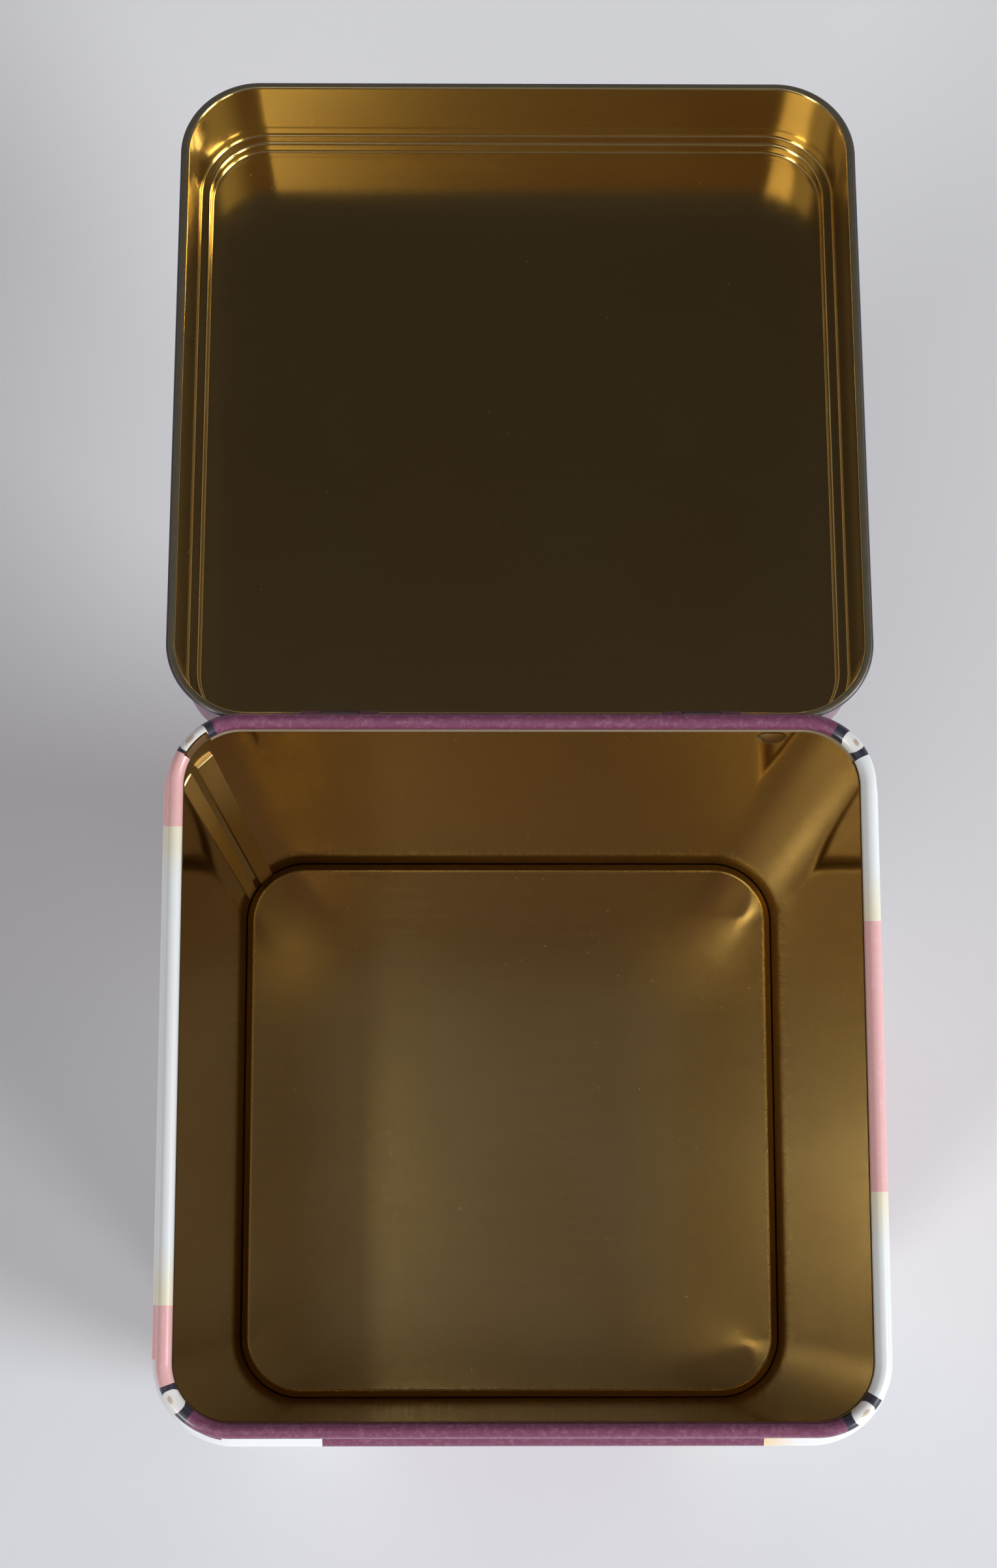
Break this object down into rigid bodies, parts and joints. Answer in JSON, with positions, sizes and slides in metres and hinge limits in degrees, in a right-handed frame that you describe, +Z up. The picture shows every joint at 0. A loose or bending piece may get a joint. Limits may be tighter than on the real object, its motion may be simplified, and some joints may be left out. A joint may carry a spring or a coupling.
{
  "type": "hinged metal tin",
  "caption": "Tall square sheet-metal tin with rounded corners, a rolled rim, a seamed base and a lift-back hinged lid, standing open.",
  "frame": {"origin": "on the resting surface, straight below the hinge axis and midway along it, which is the bottom centre of the open tin's bounding box", "axes": "+Z up, +X along the hinge axis to the right seen from the front, +Y from the body towards the open lid"},
  "size_m": [0.1154, 0.2285, 0.1695],
  "materials": {
    "body_metal": "gold lacquer inside, printed and varnished outside",
    "base_metal": "gold lacquer inside, plain dark varnish outside",
    "lid_metal": "gold lacquer inside, printed and varnished outside",
    "pin_wire": "drawn wire"
  },
  "bodies": {
    "tin_body": {"body_wall": "body_metal", "base_end": "base_metal", "left_hinge_pin": "pin_wire", "right_hinge_pin": "pin_wire"},
    "lid": {"lid": "lid_metal"}
  },
  "joints": [
    {"name": "lid_hinge", "type": "hinge", "parent": "tin_body", "child": "lid", "pos_m": [0, 0, 0.15595], "axis": [1, 0, 0], "range_deg": [0, 184.3]}
  ]
}
